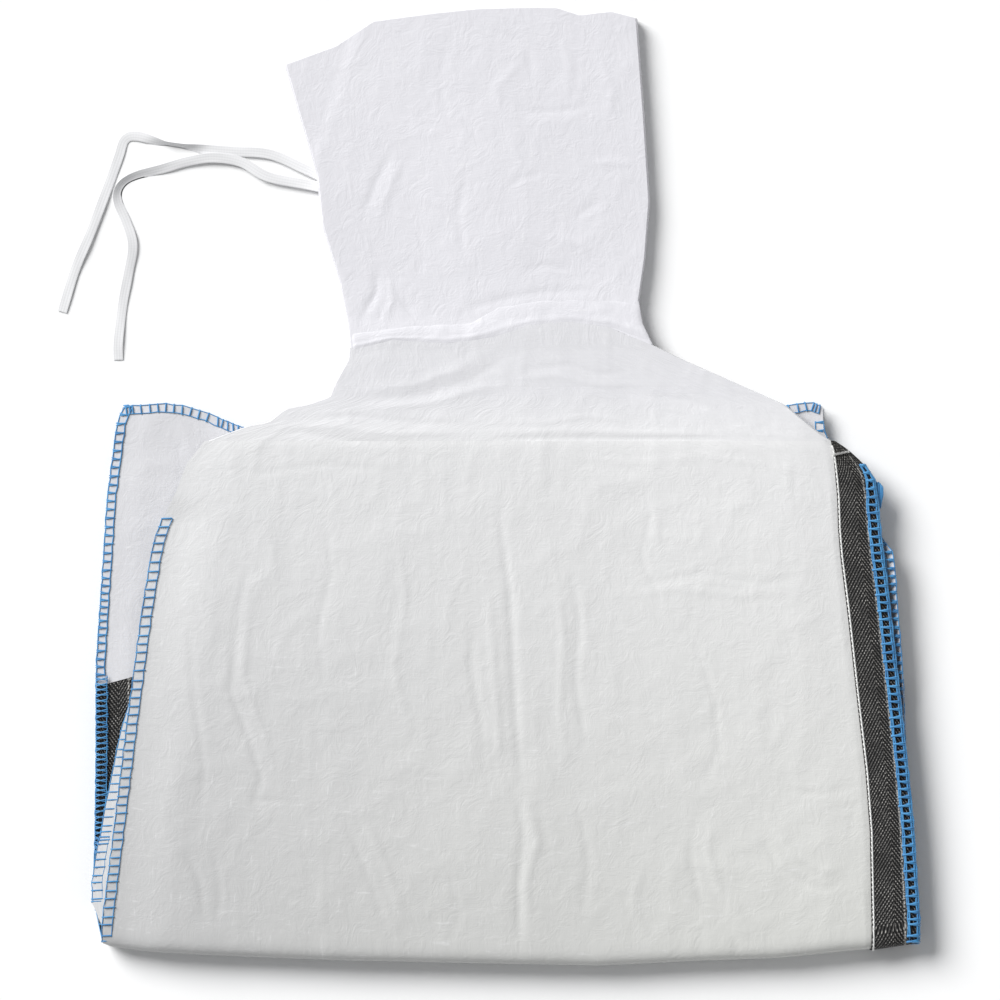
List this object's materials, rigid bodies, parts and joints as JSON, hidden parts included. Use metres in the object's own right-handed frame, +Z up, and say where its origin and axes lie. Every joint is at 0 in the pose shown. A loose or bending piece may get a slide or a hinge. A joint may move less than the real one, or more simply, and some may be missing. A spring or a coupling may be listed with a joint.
{
  "type": "bulk bag",
  "caption": "Flexible bulk bag of coated woven cloth with corner webbing and a filling spout, folded in half and lying flat.",
  "frame": {"origin": "middle of the folded bag's footprint, on the floor", "axes": "+Y from the folded edge towards the spout mouth, +X to the right of the bag seen from above, +Z up"},
  "size_m": [0.9478, 1.055, 0.04],
  "materials": {
    "body_cloth": "satin coated weave",
    "spout_cloth": "satin coated weave, thin",
    "webbing": "herringbone webbing",
    "blue_thread": "overlock thread",
    "white_thread": "lock stitch thread",
    "tie_tape": "flat woven tape"
  },
  "bodies": {
    "lower_half": {"front_panel_lower": "body_cloth", "back_panel_lower": "body_cloth", "left_gusset_lower": "body_cloth", "right_gusset_lower": "body_cloth", "base_panel": "body_cloth", "webbing_front_left_lower": "webbing", "webbing_front_right_lower": "webbing", "webbing_back_left_lower": "webbing", "webbing_back_right_lower": "webbing", "overlock_front_left_lower": "blue_thread", "overlock_front_right_lower": "blue_thread", "overlock_back_left_lower": "blue_thread", "overlock_back_right_lower": "blue_thread", "overlock_base_front": "blue_thread", "overlock_base_back": "blue_thread", "stitching_front_left_lower": "white_thread", "stitching_front_right_lower": "white_thread", "stitching_back_left_lower": "white_thread", "stitching_back_right_lower": "white_thread"},
    "upper_half": {"front_panel_upper": "body_cloth", "back_panel_upper": "body_cloth", "left_gusset_upper": "body_cloth", "right_gusset_upper": "body_cloth", "webbing_front_left_upper": "webbing", "webbing_front_right_upper": "webbing", "webbing_back_left_upper": "webbing", "webbing_back_right_upper": "webbing", "overlock_front_left_upper": "blue_thread", "overlock_front_right_upper": "blue_thread", "overlock_back_left_upper": "blue_thread", "overlock_back_right_upper": "blue_thread", "top_seam_front": "body_cloth", "top_seam_back": "body_cloth", "stitching_front_left_upper": "white_thread", "stitching_front_right_upper": "white_thread", "stitching_back_left_upper": "white_thread", "stitching_back_right_upper": "white_thread", "bar_tack_front_left": "white_thread", "bar_tack_front_right": "white_thread", "bar_tack_back_left": "white_thread", "bar_tack_back_right": "white_thread"},
    "filling_top": {"top_panel": "spout_cloth"},
    "spout_tube": {"spout": "spout_cloth", "spout_seam_band": "spout_cloth", "tie_tape_upper_tail": "tie_tape", "tie_tape_lower_tail": "tie_tape"},
    "loop_front_left": {"lifting_loop_front_left": "webbing"},
    "loop_front_right": {"lifting_loop_front_right": "webbing"},
    "loop_back_left": {"lifting_loop_back_left": "webbing"},
    "loop_back_right": {"lifting_loop_back_right": "webbing"}
  },
  "joints": [
    {"name": "body_fold", "type": "hinge", "parent": "lower_half", "child": "upper_half", "pos_m": [0, -0.5285, 0.02], "axis": [1, 0, 0], "range_deg": [0, 180]},
    {"name": "top_fold", "type": "hinge", "parent": "upper_half", "child": "filling_top", "pos_m": [0, 0.05, 0.04], "axis": [1, 0, 0], "range_deg": [0, 80]},
    {"name": "spout_fold", "type": "hinge", "parent": "filling_top", "child": "spout_tube", "pos_m": [0, 0.1655, 0.016], "axis": [1, 0, 0], "range_deg": [0, 90]},
    {"name": "front_left_loop_swing", "type": "hinge", "parent": "upper_half", "child": "loop_front_left", "pos_m": [0, 0.051, 0.0188], "axis": [1, 0, 0], "range_deg": [0, 36]},
    {"name": "front_right_loop_swing", "type": "hinge", "parent": "upper_half", "child": "loop_front_right", "pos_m": [0, 0.051, 0.0188], "axis": [1, 0, 0], "range_deg": [0, 36]},
    {"name": "back_left_loop_swing", "type": "hinge", "parent": "upper_half", "child": "loop_back_left", "pos_m": [0, 0.048, 0.02], "axis": [1, 0, 0], "range_deg": [0, 90]},
    {"name": "back_right_loop_swing", "type": "hinge", "parent": "upper_half", "child": "loop_back_right", "pos_m": [0, 0.048, 0.02], "axis": [1, 0, 0], "range_deg": [0, 90]}
  ],
  "couplings": [
    {"joint": "front_left_loop_swing", "follows": "top_fold", "ratio": 0.45},
    {"joint": "front_right_loop_swing", "follows": "top_fold", "ratio": 0.45},
    {"joint": "back_left_loop_swing", "follows": "body_fold", "ratio": 0.5},
    {"joint": "back_right_loop_swing", "follows": "body_fold", "ratio": 0.5}
  ]
}
